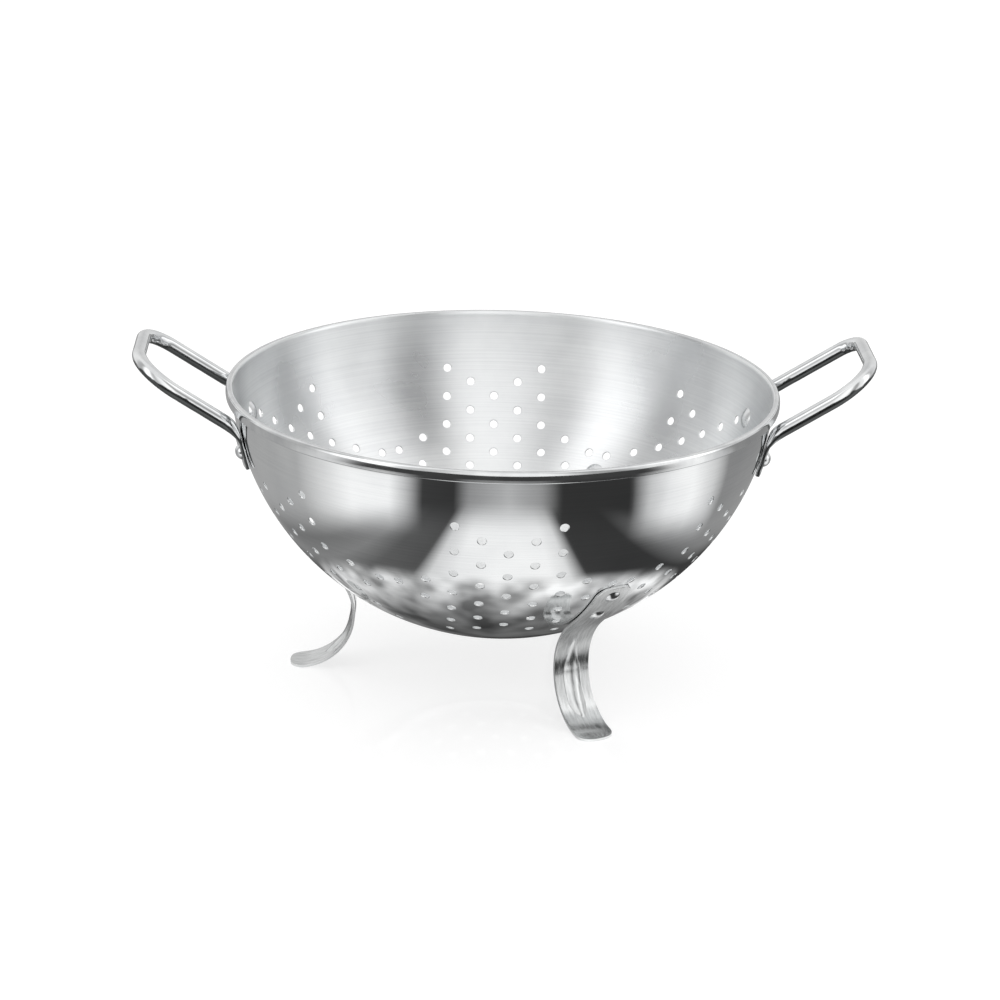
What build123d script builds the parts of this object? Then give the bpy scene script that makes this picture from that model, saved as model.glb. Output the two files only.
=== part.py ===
"""Footed strainer bowl: perforated bowl with a rolled rim, two riveted loop handles, three riveted legs.

Origin: centre of the ground plane, under the bowl's axis. +Z up, handles along X. Millimetres.
"""
from build123d import *
from math import asin, atan2, cos, degrees, pi, radians, sin, sqrt
import os

# Bowl: one spherical sheet with its edge rolled outwards into a bead
rim_diameter = 320.0
bowl_depth = 142.8
wall = 1.0
bead_width = 4.2
bead_height = 7.0
bead_sides = 8

# Perforation: one punched group, repeated round the bowl, and a cluster in the bottom
hole_diameter = 4.9
punch_sides = 6
punch_bow_share = 0.005
group_count = 6
column_spacing = 14.8
hole_spacing_down = 18.1
first_hole_drop = 31.5
rows_of_column = {
    0: (2, 4, 6, 8, 10),
    1: (1, 3, 5, 7, 9, 11),
    2: (0, 2, 4, 6, 8, 10, 12),
    3: (5, 7),
    4: (6,),
}
cluster_rings = 3
cluster_spacing = 17.0

# Handles: one bent tube each, its two ends flattened into tabs
tube_diameter = 8.0
tube_wall = 1.2
overall_length = 428.0
arm_spacing = 77.0
arm_rise_angle = 33.0
handle_corner_radius = 19.0
tab_width = 11.4
tab_slit = 0.4
tab_below_rivet = 9.5
tab_above_rivet = 6.5
flat_share = 0.99
neck_sections = 4
neck_bend_above_rivet = 14.0
handle_rivet_drop = 26.8

# Legs: pressed strip with one rib, bent from the bowl's wall down to a flat foot
leg_angles = {"front_right_leg": 30.0, "rear_right_leg": 150.0, "left_leg": 270.0}
leg_width = 22.6
leg_thickness = 1.5
leg_bend_radius = 34.4
leg_straight_length = 12.0
leg_departure_angle = 41.6
foot_length = 3.5
foot_corner_radius = 8.0
leg_corner_radius = 5.0
lower_rivet_angle = 42.6
leg_rivet_spacing = 21.8
tab_beyond_rivet = 9.0
rib_height = 1.6
rib_width = 10.4
rib_crest_width = 5.2
rib_half_angle = 44.0
rib_middle_angle = 194.0

# Rivets: a broad head inside the bowl, a smaller set head outside
rivet_diameter = 5.0
rivet_fit = 0.05
inner_head_diameter = 12.0
inner_head_height = 2.0
outer_head_diameter = 8.8
outer_head_height = 2.7

seat_gap = 0.05
cut_overrun = 5.0

os.makedirs("parts", exist_ok=True)


# Bowl sizes that follow: a sphere through the underside and the foot of the bead
bead_circle_radius = rim_diameter / 2 - bead_width / 2
wall_top_radius = bead_circle_radius - bead_width / 2 + wall
crown_radius = (wall_top_radius**2 + bowl_depth**2) / (2 * bowl_depth)
rim_angle = degrees(asin(wall_top_radius / crown_radius))

# Heights that follow: the legs stand on the ground and carry the crown
departure = radians(leg_departure_angle)
leg_middle_radius = crown_radius + seat_gap + leg_thickness / 2
foot_middle_height = leg_thickness / 2
leg_bend_height = foot_middle_height + leg_bend_radius
run_top_height = leg_bend_height + leg_bend_radius * cos(departure) + leg_straight_length * sin(departure)
crown_height = run_top_height + leg_middle_radius * cos(departure)
underside_height = crown_height - crown_radius
rim_height = underside_height + bowl_depth


def outward(azimuth, below_level=0.0):
    """Unit vector at an azimuth from the front (-Y) towards +X, tipped down by an angle."""
    turn = radians(azimuth)
    dip = radians(below_level)
    return Vector(sin(turn) * cos(dip), -cos(turn) * cos(dip), -sin(dip))


def level(azimuth):
    """Unit vector along the bowl's wall at an azimuth, level and to the right as seen from outside."""
    return Vector(cos(radians(azimuth)), sin(radians(azimuth)), 0)


crown_centre = Vector(0, 0, crown_height)


def seat(azimuth, below_level, radius):
    """Plane at a radius from the crown's centre: Z outwards, X level."""
    aim = outward(azimuth, below_level)
    return Plane(origin=crown_centre + aim * radius, x_dir=level(azimuth), z_dir=aim)


def upright(azimuth):
    """Plane through the bowl's axis at an azimuth: sketch X outwards, sketch Y up."""
    return Plane(origin=(0, 0, 0), x_dir=outward(azimuth), z_dir=level(azimuth) * -1)


# Rivet places: (azimuth, angle below level from the crown's centre)
handle_rivet_fall = degrees(asin((crown_height - rim_height + handle_rivet_drop) / crown_radius))
tab_thickness = 2 * tube_wall + tab_slit
tab_middle_radius = crown_radius + seat_gap + tab_thickness / 2
rivet_fall = radians(handle_rivet_fall)
neck_reach = tab_middle_radius * cos(rivet_fall) + neck_bend_above_rivet * sin(rivet_fall)
handle_rivet_turn = degrees(asin(arm_spacing / 2 / neck_reach))
upper_rivet_angle = lower_rivet_angle + degrees(leg_rivet_spacing / crown_radius)
handle_rivet_places = []
for azimuth in (90, 270):
    for turn in (-handle_rivet_turn, handle_rivet_turn):
        handle_rivet_places.append((azimuth + turn, handle_rivet_fall))
leg_rivet_places = []
for azimuth in leg_angles.values():
    for angle in (lower_rivet_angle, upper_rivet_angle):
        leg_rivet_places.append((azimuth, 90 - angle))

# Hole places: planes on the bowl's outer face, Z outwards
row_angle = degrees(hole_spacing_down / 2 / crown_radius)
hole_planes = []
for group in range(group_count):
    azimuth = group * 360 / group_count
    for column, rows in rows_of_column.items():
        reach = sqrt(crown_radius**2 - (column * column_spacing) ** 2)
        first_angle = asin((crown_height - rim_height + first_hole_drop) / reach)
        for row in rows:
            angle_down = first_angle + radians(row * row_angle)
            for side in {-column, column}:
                ahead = outward(azimuth) * (reach * cos(angle_down))
                across = level(azimuth) * (side * column_spacing)
                aim = ahead + across - Vector(0, 0, reach * sin(angle_down))
                hole_planes.append(Plane(origin=crown_centre + aim, x_dir=level(azimuth), z_dir=aim))
for along in range(-cluster_rings, cluster_rings + 1):
    for across in range(-cluster_rings, cluster_rings + 1):
        if abs(along + across) <= cluster_rings:
            x = cluster_spacing * (along + across / 2)
            y = cluster_spacing * across * sin(radians(60))
            aim = Vector(x, y, -sqrt(crown_radius**2 - x**2 - y**2))
            hole_planes.append(Plane(origin=crown_centre + aim, x_dir=(0, 1, 0), z_dir=aim))


# Bowl
def bead_corners(inset):
    """Corners of the rolled bead's section drawn in by an inset, from the inner wall to its open end."""
    half_width = (bead_width / 2 - inset) / cos(pi / bead_sides)
    half_height = (bead_height / 2 - inset) / cos(pi / bead_sides)
    angles = [pi - (2 * k + 1) * pi / bead_sides for k in range(bead_sides - 1)]
    return [(bead_circle_radius + half_width * cos(a), rim_height + half_height * sin(a)) for a in angles]


# The punch: six slightly bowed sides of the round hole's area, which keeps the bowl's mesh light
punch_radius = hole_diameter / 2 * sqrt(2 * pi / (punch_sides * sin(2 * pi / punch_sides)))
punch_corners = [Vector(punch_radius, 0).rotate(Axis.Z, 360 * n / punch_sides) for n in range(punch_sides)]
with BuildPart() as punch:
    with BuildSketch(Plane.XY.offset(-cut_overrun)):
        with BuildLine():
            for number, corner in enumerate(punch_corners):
                SagittaArc(punch_corners[number - 1], corner, -hole_diameter * punch_bow_share)
        make_face()
    extrude(amount=2 * cut_overrun)

with BuildPart() as bowl:
    with BuildSketch(Plane.XZ):
        with BuildLine():
            outer_wall = CenterArc((0, crown_height), crown_radius, -90, rim_angle)
            inner_wall = CenterArc((0, crown_height), crown_radius - wall, -90, rim_angle)
            Polyline(inner_wall @ 1, *bead_corners(0), *reversed(bead_corners(wall)), outer_wall @ 1)
            Line(inner_wall @ 0, outer_wall @ 0)
        make_face()
    revolve(axis=Axis.Z)
    with Locations(*hole_planes):
        add(punch.part, mode=Mode.SUBTRACT)
    with Locations(*[seat(*place, crown_radius) for place in handle_rivet_places + leg_rivet_places]):
        Cylinder(rivet_diameter / 2 + rivet_fit, 2 * cut_overrun, mode=Mode.SUBTRACT)
bowl.part.label = "bowl"
export_step(bowl.part, "parts/bowl.step")


# Rivets
def dome_middle(diameter, height):
    """Halfway up a domed head's arc: the distance from its axis and the height above its seat."""
    ball_radius = ((diameter / 2) ** 2 + height**2) / (2 * height)
    half_angle = atan2(diameter / 2, ball_radius - height) / 2
    return ball_radius * sin(half_angle), height - ball_radius * (1 - cos(half_angle))


def rivet_at(place, fastened):
    """A set rivet at an (azimuth, fall) of the bowl, closed over the wall and what is fastened to it."""
    inner_face = seat(*place, crown_radius - wall)
    head_sag = (inner_head_diameter / 2) ** 2 / (2 * crown_radius)
    inner_seat = -head_sag - seat_gap
    outer_seat = wall + fastened + 2 * seat_gap
    inner_reach, inner_rise = dome_middle(inner_head_diameter, inner_head_height)
    outer_reach, outer_rise = dome_middle(outer_head_diameter, outer_head_height)
    inner_rim = (inner_head_diameter / 2, inner_seat)
    outer_rim = (outer_head_diameter / 2, outer_seat)
    shank = rivet_diameter / 2
    section = Plane(origin=inner_face.origin, x_dir=inner_face.x_dir, z_dir=inner_face.y_dir * -1)
    with BuildPart() as rivet:
        with BuildSketch(section):
            with BuildLine():
                axis_line = Line((0, inner_seat - inner_head_height), (0, outer_seat + outer_head_height))
                ThreePointArc(axis_line @ 1, (outer_reach, outer_seat + outer_rise), outer_rim)
                Polyline(outer_rim, (shank, outer_seat), (shank, inner_seat), inner_rim)
                ThreePointArc(inner_rim, (inner_reach, inner_seat - inner_rise), axis_line @ 0)
            make_face()
        revolve(axis=Axis(inner_face.origin, inner_face.z_dir))
    return rivet.part


with BuildPart() as handle_rivets:
    for place in handle_rivet_places:
        add(rivet_at(place, tab_thickness))
handle_rivets.part.label = "handle_rivets"
export_step(handle_rivets.part, "parts/handle_rivets.step")

with BuildPart() as leg_rivets:
    for place in leg_rivet_places:
        add(rivet_at(place, leg_thickness))
leg_rivets.part.label = "leg_rivets"
export_step(leg_rivets.part, "parts/leg_rivets.step")


# Legs
def in_upright(azimuth, point):
    """A sketch point of the upright plane at an azimuth, in space."""
    return outward(azimuth) * point.X + Vector(0, 0, point.Y)


def leg_at(azimuth):
    """A leg, drawn on the upright plane at its azimuth: sketch X outwards, sketch Y up."""
    tab_end_angle = upper_rivet_angle + degrees(tab_beyond_rivet / crown_radius)
    across = level(azimuth)
    with BuildPart() as leg:
        with BuildSketch(upright(azimuth)):
            with BuildLine():
                tab_arc = tab_end_angle - leg_departure_angle
                tab = CenterArc((0, crown_height), leg_middle_radius, leg_departure_angle - 90, tab_arc)
                run = PolarLine(tab @ 0, leg_straight_length, leg_departure_angle + 180)
                bend_centre = run @ 1 + Vector(leg_bend_radius, 0).rotate(Axis.Z, leg_departure_angle - 90)
                bend_arc = 180 - leg_departure_angle
                bend = CenterArc(bend_centre, leg_bend_radius, 90 + leg_departure_angle, bend_arc)
                PolarLine(bend @ 1, foot_length, 0)
            trace(line_width=leg_thickness)
        extrude(amount=leg_width / 2, both=True)
        corners = leg.edges().filter_by(lambda edge: edge.length < 2 * leg_thickness).sort_by(Axis.Z)
        fillet(corners[:2], foot_corner_radius)
        fillet(corners[2:], leg_corner_radius)
        rivet_angles = (lower_rivet_angle, upper_rivet_angle)
        with Locations(*[seat(azimuth, 90 - angle, crown_radius) for angle in rivet_angles]):
            Cylinder(rivet_diameter / 2 + rivet_fit, 2 * cut_overrun, mode=Mode.SUBTRACT)
        add(rib_at(azimuth, bend_centre, 0))
        add(rib_at(azimuth, bend_centre, leg_thickness), mode=Mode.SUBTRACT)
    return leg.part


def rib_at(azimuth, bend_centre, depth):
    """The rib's ridge on the leg's hollow side, or at the metal's depth below it the groove behind it."""
    across = level(azimuth)
    face_radius = leg_bend_radius - leg_thickness / 2
    rib_shift = rib_height / (1 - cos(radians(rib_half_angle)))
    crest = face_radius - rib_height + rib_shift + depth
    foot = crest + rib_height + leg_thickness
    flare = (rib_width - rib_crest_width) / (2 * rib_height)
    foot_width = rib_crest_width + 2 * flare * (foot - crest)
    middle = Vector(1, 0).rotate(Axis.Z, rib_middle_angle)
    start = middle.rotate(Axis.Z, -rib_half_angle)
    centre = in_upright(azimuth, bend_centre - middle * rib_shift)
    start_aim = in_upright(azimuth, start)
    section = Plane(origin=centre, x_dir=start_aim, z_dir=start_aim.cross(across))
    with BuildPart() as rib:
        with BuildSketch(section):
            with BuildLine():
                Polyline(
                    (crest, -rib_crest_width / 2),
                    (foot, -foot_width / 2),
                    (foot, foot_width / 2),
                    (crest, rib_crest_width / 2),
                    close=True,
                )
            make_face()
        revolve(axis=Axis(centre, across * -1), revolution_arc=2 * rib_half_angle)
        if not depth:
            with Locations(Plane(origin=in_upright(azimuth, bend_centre), z_dir=across)):
                Cylinder(leg_bend_radius, leg_width, mode=Mode.INTERSECT)
    return rib.part


for name, azimuth in leg_angles.items():
    leg = leg_at(azimuth)
    leg.label = name
    export_step(leg, f"parts/{name}.step")


# Handles
def tube_outline(plane, roundness):
    """The tube's outline on a plane, between the flattened tab (0) and the round tube (1)."""
    round_corner = tube_diameter / 2 * sin(radians(45))
    flat_corner_x = (tab_width - tab_thickness) / 2
    flat_corner_y = tab_thickness / 2 * flat_share
    corner_x = flat_corner_x + (round_corner - flat_corner_x) * roundness
    corner_y = flat_corner_y + (round_corner - flat_corner_y) * roundness**2
    side_x = (tab_width + (tube_diameter - tab_width) * roundness) / 2
    side_y = (tab_thickness + (tube_diameter - tab_thickness) * roundness**2) / 2
    with BuildSketch(plane) as outline:
        with BuildLine():
            ThreePointArc((corner_x, -corner_y), (side_x, 0), (corner_x, corner_y))
            ThreePointArc((corner_x, corner_y), (0, side_y), (-corner_x, corner_y))
            ThreePointArc((-corner_x, corner_y), (-side_x, 0), (-corner_x, -corner_y))
            ThreePointArc((-corner_x, -corner_y), (0, -side_y), (corner_x, -corner_y))
        make_face()
    return outline.sketch


def handle_half(side):
    """The right handle's front (-1) or rear (1) half: flattened tab, neck, arm and half the bar."""
    tab_plane = seat(90 + side * handle_rivet_turn, handle_rivet_fall, tab_middle_radius)
    up_tab = tab_plane.y_dir
    up_arm = Vector(cos(radians(arm_rise_angle)), 0, sin(radians(arm_rise_angle)))
    neck_corner = tab_plane.origin + up_tab * neck_bend_above_rivet
    neck_start = tab_plane.origin + up_tab * tab_above_rivet
    arm_start = neck_corner + up_arm * (neck_bend_above_rivet - tab_above_rivet)
    arm_length = (overall_length / 2 - tube_diameter / 2 - arm_start.X) / up_arm.X
    loop_plane = Plane(origin=arm_start, x_dir=up_arm, z_dir=up_arm.cross(Vector(0, 1, 0)))
    neck_planes = []
    for number in range(neck_sections):
        along = number / (neck_sections - 1)
        before = neck_start + (neck_corner - neck_start) * along
        after = neck_corner + (arm_start - neck_corner) * along
        width_aim = tab_plane.x_dir * (1 - along) + Vector(0, 1, 0) * along
        plane = Plane(origin=before + (after - before) * along, x_dir=width_aim, z_dir=after - before)
        neck_planes.append((plane, along))
    with BuildPart() as half:
        with BuildLine(loop_plane) as loop:
            bar_middle = (arm_length, -side * arm_spacing / 2)
            FilletPolyline((0, 0), (arm_length, 0), bar_middle, radius=handle_corner_radius)
        with BuildSketch(neck_planes[-1][0]):
            Circle(tube_diameter / 2)
        sweep(path=loop.line)
        loft([tube_outline(plane, along) for plane, along in neck_planes])
        extrude(tube_outline(neck_planes[0][0], 0), amount=-tab_above_rivet - tab_below_rivet)
        with BuildSketch(neck_planes[0][0]):
            Rectangle(tab_width - 2 * tube_wall, tab_slit)
        extrude(amount=-tab_above_rivet - tab_below_rivet - cut_overrun, mode=Mode.SUBTRACT)
        with Locations(tab_plane):
            Cylinder(rivet_diameter / 2 + rivet_fit, 2 * cut_overrun, mode=Mode.SUBTRACT)
    return half.part


for name, turn in (("right_handle", 0), ("left_handle", 180)):
    with BuildPart() as handle:
        for side in (-1, 1):
            add(handle_half(side).rotate(Axis.Z, turn))
    handle.part.label = name
    export_step(handle.part, f"parts/{name}.step")
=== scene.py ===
# %% [markdown]
# # A footed colander in polished steel
#
# A spun steel bowl stands on three pressed strip legs and is carried by two loops of bent tube.
# Everything is riveted, so nothing moves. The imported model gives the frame: sizes and places are read
# from it, and each visible piece is made again here, smooth and round, on top of its solid.

# %% Load the frame
from math import asin, atan2, cos, degrees, pi, radians, sin, sqrt, tan

import bmesh
import bpy
from mathutils import Matrix, Vector


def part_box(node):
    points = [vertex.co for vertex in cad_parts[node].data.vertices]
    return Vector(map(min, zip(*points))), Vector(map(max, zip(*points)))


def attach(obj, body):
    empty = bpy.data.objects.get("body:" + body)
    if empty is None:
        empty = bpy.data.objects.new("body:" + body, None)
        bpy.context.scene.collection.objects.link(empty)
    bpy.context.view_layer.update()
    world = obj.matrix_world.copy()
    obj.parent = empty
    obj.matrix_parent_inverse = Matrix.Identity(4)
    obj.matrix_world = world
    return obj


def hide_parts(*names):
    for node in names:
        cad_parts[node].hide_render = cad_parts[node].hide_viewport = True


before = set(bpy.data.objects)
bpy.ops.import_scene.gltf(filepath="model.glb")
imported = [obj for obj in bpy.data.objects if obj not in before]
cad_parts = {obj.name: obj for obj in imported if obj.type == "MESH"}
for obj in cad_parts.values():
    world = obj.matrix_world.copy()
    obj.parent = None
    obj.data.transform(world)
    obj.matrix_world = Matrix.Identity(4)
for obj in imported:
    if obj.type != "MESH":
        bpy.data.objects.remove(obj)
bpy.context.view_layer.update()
print("nodes:", sorted(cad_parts))

# %% [markdown]
# ## Driving sizes
#
# The bowl's own box gives the rim, the depth and the height on the legs. What a box can't tell, such as
# sheet thickness or hole spacing, is a named size in metres, the same as in the part's source.

# %% Sizes of the bowl
MM = 0.001
UP = Vector((0, 0, 1))
WALL = 1.0 * MM
BEAD_WIDTH = 4.2 * MM
BEAD_HEIGHT = 7.0 * MM

bowl_low, bowl_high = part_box("bowl")
rim_radius = bowl_high[0]
rim_height = bowl_high[2] - BEAD_HEIGHT / 2
bowl_depth = rim_height - bowl_low[2]
bead_circle = rim_radius - BEAD_WIDTH / 2
wall_top = bead_circle - BEAD_WIDTH / 2 + WALL
crown_radius = (wall_top**2 + bowl_depth**2) / (2 * bowl_depth)
crown = Vector((0, 0, bowl_low[2] + crown_radius))
print("rim radius", rim_radius, "rim height", rim_height, "crown radius", crown_radius)

# %% [markdown]
# The wall is part of a ball, and the crown is the ball's centre. So a place on the wall is an azimuth round
# the bowl and an angle below the crown's level, and three helpers turn such places into vectors.


# %% Directions and places
def outward(azimuth, below_level=0.0):
    """Unit vector at an azimuth in degrees from the front towards +X, tipped down by an angle."""
    turn, dip = radians(azimuth), radians(below_level)
    return Vector((sin(turn) * cos(dip), -cos(turn) * cos(dip), -sin(dip)))


def level(azimuth):
    """Unit vector level along the wall, to the right as seen from outside."""
    return Vector((cos(radians(azimuth)), sin(radians(azimuth)), 0))


def placing(origin, x_aim, z_aim):
    """Matrix that puts a shape made at the origin at a place, its Z along z_aim and its X along x_aim."""
    z = z_aim.normalized()
    y = z.cross(x_aim).normalized()
    x = y.cross(z)
    return Matrix.Translation(origin) @ Matrix((x, y, z)).transposed().to_4x4()


# %% [markdown]
# ## Turning a bmesh into a piece
#
# Every piece ends the same way: a mesh with smooth faces, its object at the origin, the body that it rides
# on, and the solid that it stands for. Three helpers do all of that.


# %% Helpers for pieces
def object_from(bm, name, sharp_angle=radians(40)):
    """Writes a bmesh to a new object with smooth faces and sharp edges past an angle."""
    for face in bm.faces:
        face.smooth = True
    for edge in bm.edges:
        edge.smooth = len(edge.link_faces) != 2 or edge.calc_face_angle(0) < sharp_angle
    mesh = bpy.data.meshes.new(name)
    bm.to_mesh(mesh)
    bm.free()
    thing = bpy.data.objects.new(name, mesh)
    bpy.context.scene.collection.objects.link(thing)
    return thing


def with_modifiers_applied(thing):
    """Swaps an object's mesh for the one that its modifiers make, and clears them."""
    graph = bpy.context.evaluated_depsgraph_get()
    made = bpy.data.meshes.new_from_object(thing.evaluated_get(graph))
    thing.modifiers.clear()
    thing.data = made
    return thing


def declare(thing, slot, *nodes):
    """Rides the piece on the one body and swaps it for its solids; its slot is not used."""
    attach(thing, "root")
    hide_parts(*nodes)
    print(thing.name, len(thing.data.polygons), "faces")


# %% [markdown]
# ## The camera
#
# A long lens far away, a little above the rim. Its place and tilt were found by fitting the rim's ellipse,
# the handles and the feet of the photograph, and are kept as a few plain numbers.

# %% Camera
LENS = 113.4
DISTANCE = 1.824
ELEVATION = radians(17.15)
HEADING = radians(2.2)
LOOK_DOWN = radians(2.0)
ROLL = radians(1.51)

view_from = Vector((-sin(HEADING) * cos(ELEVATION), -cos(HEADING) * cos(ELEVATION), sin(ELEVATION)))
ahead = -view_from
right = ahead.cross(UP).normalized()
above = right.cross(ahead)
ahead = (ahead - above * tan(LOOK_DOWN)).normalized()
above = right.cross(ahead)
frame_right = right * cos(ROLL) + above * sin(ROLL)
camera_data = bpy.data.cameras.new("camera")
camera_data.lens = LENS
camera = bpy.data.objects.new("camera", camera_data)
camera_place = view_from * DISTANCE + UP * rim_height
camera.matrix_world = placing(camera_place, frame_right, -ahead)
bpy.context.scene.collection.objects.link(camera)
bpy.context.scene.camera = camera
print("camera at", [round(c, 3) for c in camera_place])

# %% [markdown]
# ## The bowl
#
# The real bowl is spun from one sheet, its edge curled outwards and its holes punched. Here a single
# vertex is spun into the wall's arc, then round the bead's centre into the curl, and that line is spun
# about the bowl's axis. Two helpers do the spinning, because the rivets are turned in the same way.

# %% Spinning helpers
WELD = 0.01 * MM


def spin_arc(bm, vertex, centre, axis, angle, steps):
    """Spins one vertex into an arc and gives the vertex at its far end."""
    arc = bmesh.ops.spin(
        bm, geom=[vertex], cent=centre, axis=axis, angle=angle, steps=steps, dvec=(0, 0, 0)
    )
    return arc["geom_last"][0]


def spin_whole_turn(bm, steps):
    """Spins an outline once round the Z axis, welds the seam and turns the faces outwards."""
    bmesh.ops.spin(
        bm,
        geom=bm.verts[:] + bm.edges[:],
        cent=(0, 0, 0),
        axis=UP,
        angle=2 * pi,
        steps=steps,
        dvec=(0, 0, 0),
        use_merge=True,
    )
    bmesh.ops.remove_doubles(bm, verts=bm.verts, dist=WELD)
    bmesh.ops.recalc_face_normals(bm, faces=bm.faces)


# %% [markdown]
# The bead is an oval with rather flat sides, so its round curl is squared a little and then drawn taller.
# The sheet is spun as one thin skin down its middle, and Solidify gives it its thickness afterwards.

# %% Spin the sheet
WALL_STEPS = 72
CURL_STEPS = 24
CURL_SWEEP = radians(300)
CURL_SQUARENESS = 3.0
TURN_STEPS = 288

sheet_radius = crown_radius - WALL / 2
rim_angle = asin(wall_top / crown_radius)
bead_centre = Vector((bead_circle, 0, rim_height))
bm = bmesh.new()
bottom = bm.verts.new(crown - UP * sheet_radius)
wall_end = spin_arc(bm, bottom, crown, (0, -1, 0), rim_angle, WALL_STEPS)
wall = set(bm.verts)
spin_arc(bm, wall_end, bead_centre, (0, 1, 0), CURL_SWEEP, CURL_STEPS)
curl = [vertex for vertex in bm.verts if vertex not in wall]
for vertex in curl:
    out, up = abs(vertex.co.x - bead_circle), abs(vertex.co.z - rim_height)
    squared = (out**CURL_SQUARENESS + up**CURL_SQUARENESS) ** (1 / CURL_SQUARENESS)
    vertex.co = bead_centre + (vertex.co - bead_centre) * (sqrt(out**2 + up**2) / squared)
oval = (1, 1, (BEAD_HEIGHT - WALL) / (BEAD_WIDTH - WALL))
bmesh.ops.scale(bm, verts=curl, vec=oval, space=Matrix.Translation(-bead_centre))
spin_whole_turn(bm, TURN_STEPS)
bowl = object_from(bm, "bowl_shell")
thicken = bowl.modifiers.new("sheet", "SOLIDIFY")
thicken.thickness = WALL
thicken.offset = 0
print("sheet faces", len(bowl.data.polygons))

# %% [markdown]
# The punch pattern is six equal groups and a cluster in the bottom. Each group is columns of holes that
# narrow to the sides, with every other row shifted, so the loops below repeat the part's own spacings.

# %% Places of the holes
COLUMN_SPACING = 14.8 * MM
ROW_SPACING = 18.1 * MM
FIRST_ROW_DROP = 31.5 * MM
ROWS_OF_COLUMN = {
    0: (2, 4, 6, 8, 10),
    1: (1, 3, 5, 7, 9, 11),
    2: (0, 2, 4, 6, 8, 10, 12),
    3: (5, 7),
    4: (6,),
}
GROUPS = 6
CLUSTER_RINGS = 3
CLUSTER_SPACING = 17.0 * MM


def wall_holes():
    """Aims from the crown's centre at every hole of the six groups."""
    row_angle = ROW_SPACING / 2 / crown_radius
    for group in range(GROUPS):
        azimuth = group * 360 / GROUPS
        for column, rows in ROWS_OF_COLUMN.items():
            reach = sqrt(crown_radius**2 - (column * COLUMN_SPACING) ** 2)
            first = asin((crown.z - rim_height + FIRST_ROW_DROP) / reach)
            for row in rows:
                down = first + row * row_angle
                for side in {-column, column}:
                    across = level(azimuth) * (side * COLUMN_SPACING)
                    yield outward(azimuth) * (reach * cos(down)) + across - UP * (reach * sin(down))


def cluster_holes():
    """Aims at the holes of the bottom cluster, on a triangular grid inside a hexagon."""
    for along in range(-CLUSTER_RINGS, CLUSTER_RINGS + 1):
        for across in range(-CLUSTER_RINGS, CLUSTER_RINGS + 1):
            if abs(along + across) <= CLUSTER_RINGS:
                x = CLUSTER_SPACING * (along + across / 2)
                y = CLUSTER_SPACING * across * sin(pi / 3)
                yield Vector((x, y, -sqrt(crown_radius**2 - x**2 - y**2)))


hole_aims = [*wall_holes(), *cluster_holes()]
print("holes", len(hole_aims))

# %% [markdown]
# A punch drags the sheet's edge in with it, so each real hole has a soft lip that catches a thin light or
# dark ring. A plain cylinder would cut a sharp edge. This punch flares a little at both faces of the sheet,
# which leaves a narrow slope round the hole. All punches are one object, so one boolean cuts them all.

# %% Punch the holes
HOLE_RADIUS = 2.5 * MM
HOLE_SIDES = 28
ROLLED_IN = 0.3 * MM
PUNCH_REACH = 1.6 * MM


def punch(bm, aim):
    """Adds one punch: a short cylinder through the sheet that flares at both faces."""
    waist = WALL / 2 - ROLLED_IN
    flare = PUNCH_REACH - waist
    rings = []
    for height, wider in ((-PUNCH_REACH, flare), (-waist, 0), (waist, 0), (PUNCH_REACH, flare)):
        place = placing(crown + aim * ((sheet_radius + height) / aim.length), level(0), aim)
        circle = bmesh.ops.create_circle(
            bm, segments=HOLE_SIDES, radius=HOLE_RADIUS + wider, matrix=place
        )
        rings.append(circle["verts"])
    for low, high in zip(rings, rings[1:]):
        edges = [bm.edges.get((a, b)) for ring in (low, high) for a, b in zip(ring, ring[1:] + ring[:1])]
        bmesh.ops.bridge_loops(bm, edges=edges)
    bm.faces.new(reversed(rings[0]))
    bm.faces.new(rings[-1])


bm = bmesh.new()
for aim in hole_aims:
    punch(bm, aim)
bmesh.ops.recalc_face_normals(bm, faces=bm.faces)
punches = object_from(bm, "punches")
cut = bowl.modifiers.new("holes", "BOOLEAN")
cut.object = punches
cut.solver = "EXACT"
with_modifiers_applied(bowl)
bpy.data.objects.remove(punches)
print("punched faces", len(bowl.data.polygons))

# %% [markdown]
# A cut leaves long thin faces round each hole, and a mirror finish would show every one. The sheet is a
# true sphere, so each corner on it is given the sphere's own direction as its normal.

# %% Smooth the sheet's shading
SHEET_FACING = 0.95
BELOW_BEAD = 1.0 * MM

normals = []
for polygon in bowl.data.polygons:
    aim = Vector(polygon.center) - crown
    faces_crown = abs(aim.normalized().dot(polygon.normal)) > SHEET_FACING
    on_sphere = faces_crown and polygon.center.z < rim_height - BELOW_BEAD
    side = 1 if aim.dot(polygon.normal) > 0 else -1
    for corner in polygon.vertices:
        if on_sphere:
            normals.append((bowl.data.vertices[corner].co - crown).normalized() * side)
        else:
            normals.append(Vector((0, 0, 0)))
bowl.data.normals_split_custom_set(normals)
print("corners shaded", len(normals))

# %% [markdown]
# ## The rivets
#
# Each rivet is a broad low head inside the bowl, a shank through the wall, and a rounder set head outside.
# A head is an arc, so a vertex at the middle of the head is spun down to its rim about the ball's centre.

# %% Rivets
INNER_HEAD = (12.0 * MM, 2.0 * MM)
OUTER_HEAD = (8.8 * MM, 2.7 * MM)
LEG_HEAD = (9.2 * MM, 1.9 * MM)
SHANK_RADIUS = 2.5 * MM
TAB_THICKNESS = 2.8 * MM
LEG_THICKNESS = 1.5 * MM
SEAT_GAP = 0.05 * MM
HEAD_STEPS = 10
ROUND_STEPS = 40


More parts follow.
